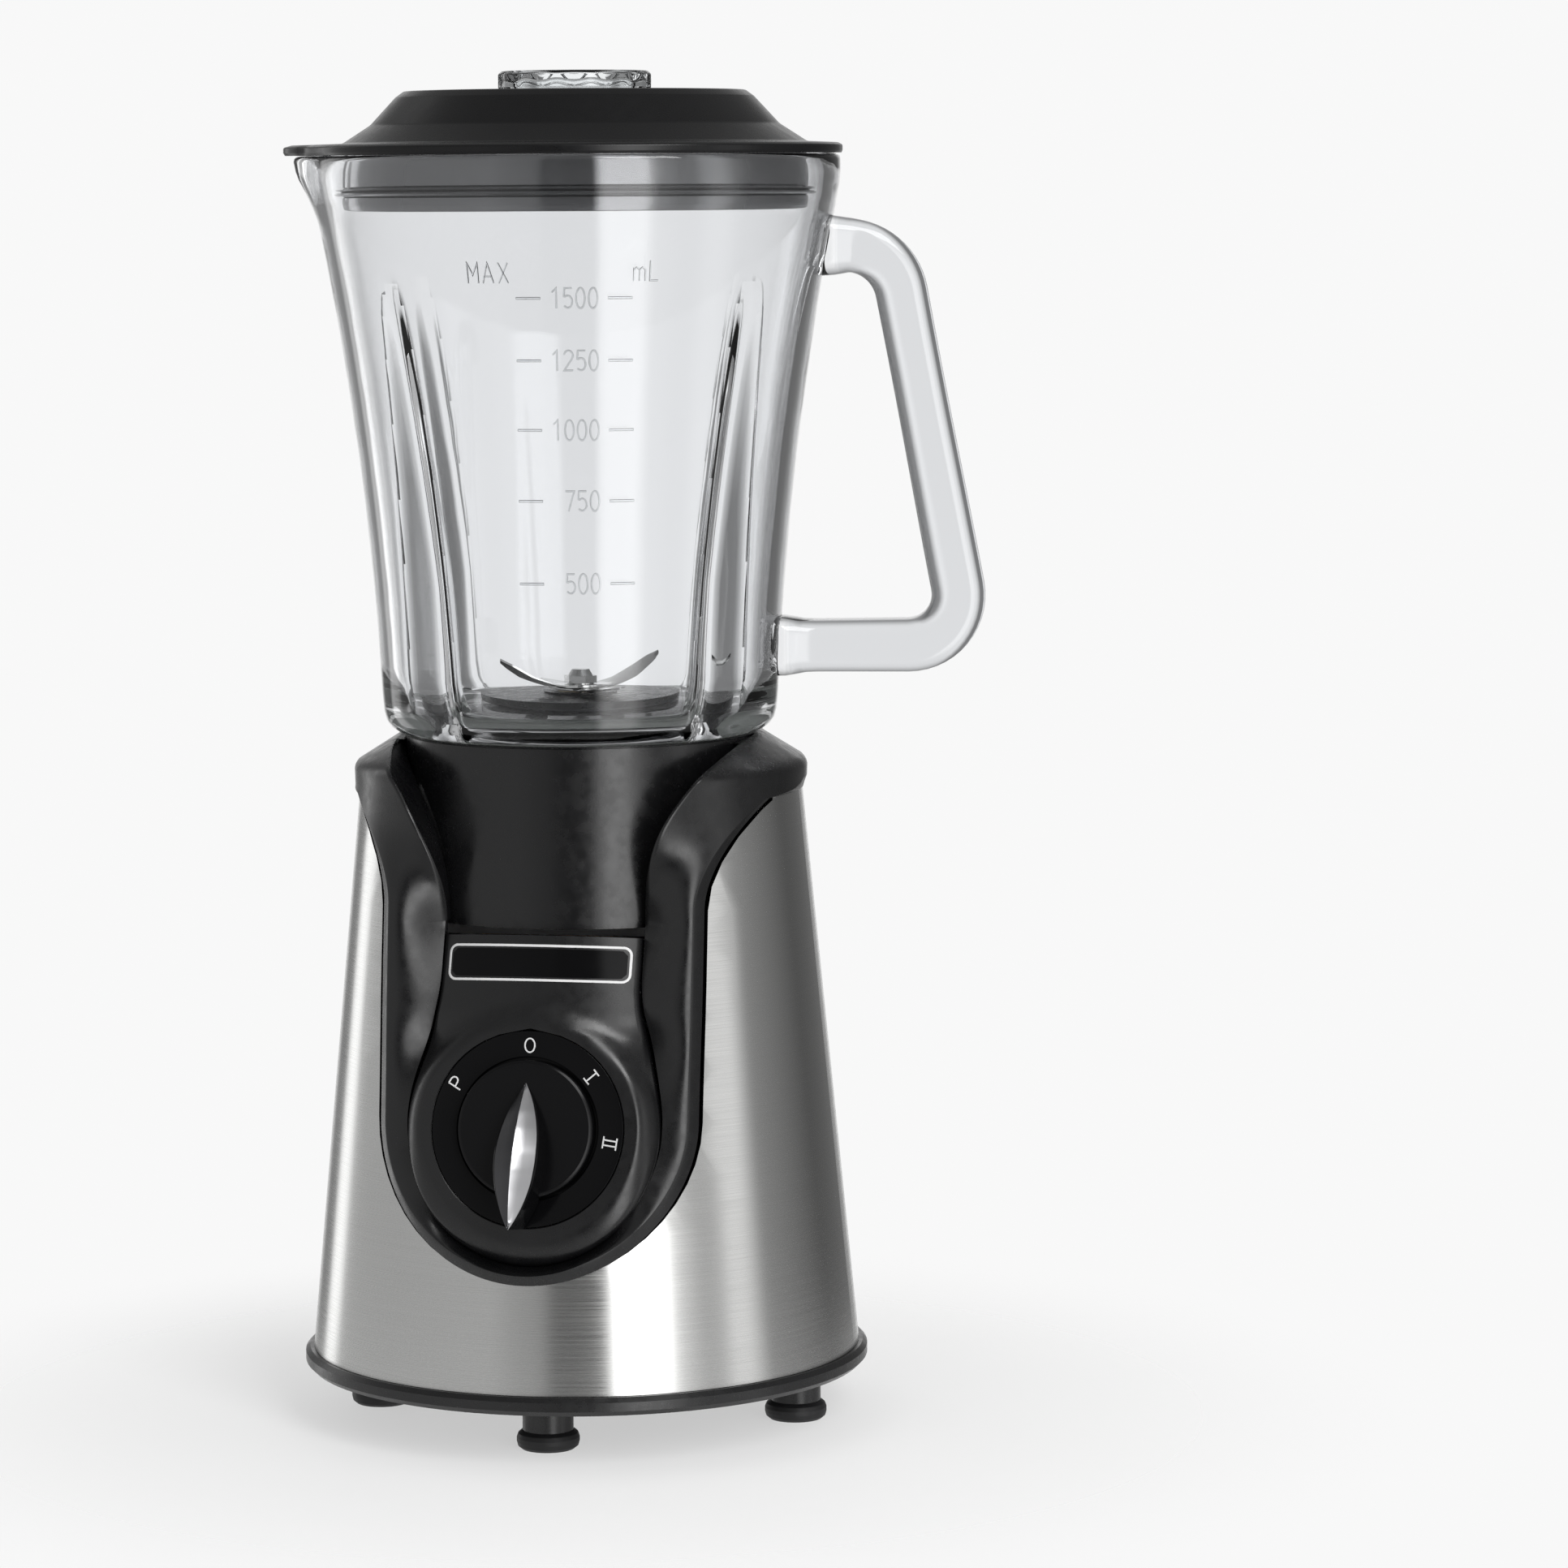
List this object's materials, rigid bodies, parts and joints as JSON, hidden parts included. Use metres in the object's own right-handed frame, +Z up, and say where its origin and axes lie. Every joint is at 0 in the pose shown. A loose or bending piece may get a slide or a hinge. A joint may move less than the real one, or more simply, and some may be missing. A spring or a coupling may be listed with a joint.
{
  "type": "countertop blender",
  "caption": "Countertop blender: a brushed-steel motor base with a rotary switch, and a lift-off glass jar with handle, spout, steel blades, black lid and clear filler cap.",
  "frame": {"origin": "on the plane the four feet stand on, where the drive axis meets it", "axes": "+Z up along the drive axis; -Y out of the control panel's front; +X to the right of someone facing the panel"},
  "size_m": [0.2065, 0.1822, 0.4017],
  "materials": {
    "rubber": "soft black rubber, matt",
    "black_plastic": "fine-grained satin black moulding",
    "screw_steel": "zinc-plated steel",
    "brushed_steel": "horizontally brushed stainless steel",
    "dial_black": "smooth black, white dial marks",
    "badge_grey": "blank black name plate with a light outline",
    "switch_body": "cream phenolic",
    "laminations": "stacked steel laminations",
    "copper_wire": "enamelled copper winding",
    "cast_bracket": "cast aluminium",
    "bearing_steel": "ground steel",
    "brass": "turned brass",
    "carbon": "pressed carbon",
    "knob_black": "satin black",
    "knob_silver": "satin silver",
    "armature_varnish": "varnished winding on a laminated core",
    "copper_bar": "copper bars, turned",
    "fan_plastic": "moulded fan",
    "coupling_rubber": "hard black rubber",
    "clear_glass": "clear pressed glass",
    "carrier_black": "black moulding",
    "seal_rubber": "soft dark grey seal",
    "blade_steel": "polished stainless steel",
    "lid_black": "satin black moulding",
    "clear_plastic": "clear moulded plastic"
  },
  "bodies": {
    "base": {"rubber_feet": "rubber", "base_plate": "black_plastic", "base_screws": "screw_steel", "steel_wrap": "brushed_steel", "housing": "black_plastic", "neck_column": "black_plastic", "column_screws": "screw_steel", "control_fascia": "black_plastic", "dial_ring": "dial_black", "badge_plate": "badge_grey", "cord_gland": "rubber", "seat_ring": "rubber", "rotary_switch": "switch_body", "motor_chassis": "black_plastic", "rubber_mounts": "rubber", "stator_core": "laminations", "field_coils": "copper_wire", "lower_bracket": "cast_bracket", "upper_bracket": "cast_bracket", "bearings": "bearing_steel", "brush_holders": "brass", "carbon_brushes": "carbon", "motor_bolts": "screw_steel"},
    "knob": {"knob": "knob_black", "knob_grip": "knob_silver", "switch_spindle": "screw_steel"},
    "rotor": {"motor_shaft": "bearing_steel", "armature": "armature_varnish", "commutator": "copper_bar", "fan": "fan_plastic", "drive_coupling": "coupling_rubber"},
    "jar": {"glass_jar": "clear_glass", "blade_carrier": "carrier_black", "carrier_seal": "seal_rubber", "carrier_nut": "carrier_black", "blade_bush": "brass"},
    "blades": {"blade_shaft": "blade_steel", "lower_blades": "blade_steel", "upper_blades": "blade_steel", "blade_nut": "blade_steel", "driven_coupling": "coupling_rubber"},
    "lid": {"lid": "lid_black", "lid_seal": "seal_rubber"},
    "cap": {"filler_cap": "clear_plastic"}
  },
  "joints": [
    {"name": "knob_turn", "type": "hinge", "parent": "base", "child": "knob", "pos_m": [0, -0.0747, 0.0984], "axis": [0, 0.9848, -0.1736], "range_deg": [-60, 100]},
    {"name": "motor_spin", "type": "hinge", "parent": "base", "child": "rotor", "pos_m": [0, 0, 0.105], "axis": [0, 0, 1], "continuous": true},
    {"name": "jar_lift", "type": "slide", "parent": "base", "child": "jar", "axis": [0, 0, 1], "range_m": [0, 0.06]},
    {"name": "blade_spin", "type": "hinge", "parent": "jar", "child": "blades", "pos_m": [0, 0, 0.216], "axis": [0, 0, 1], "continuous": true},
    {"name": "lid_lift", "type": "slide", "parent": "jar", "child": "lid", "axis": [0, 0, 1], "range_m": [0, 0.06]},
    {"name": "filler_cap_lift", "type": "slide", "parent": "lid", "child": "cap", "axis": [0, 0, 1], "range_m": [0, 0.05]}
  ],
  "couplings": [
    {"joint": "blade_spin", "follows": "motor_spin", "ratio": 1}
  ]
}
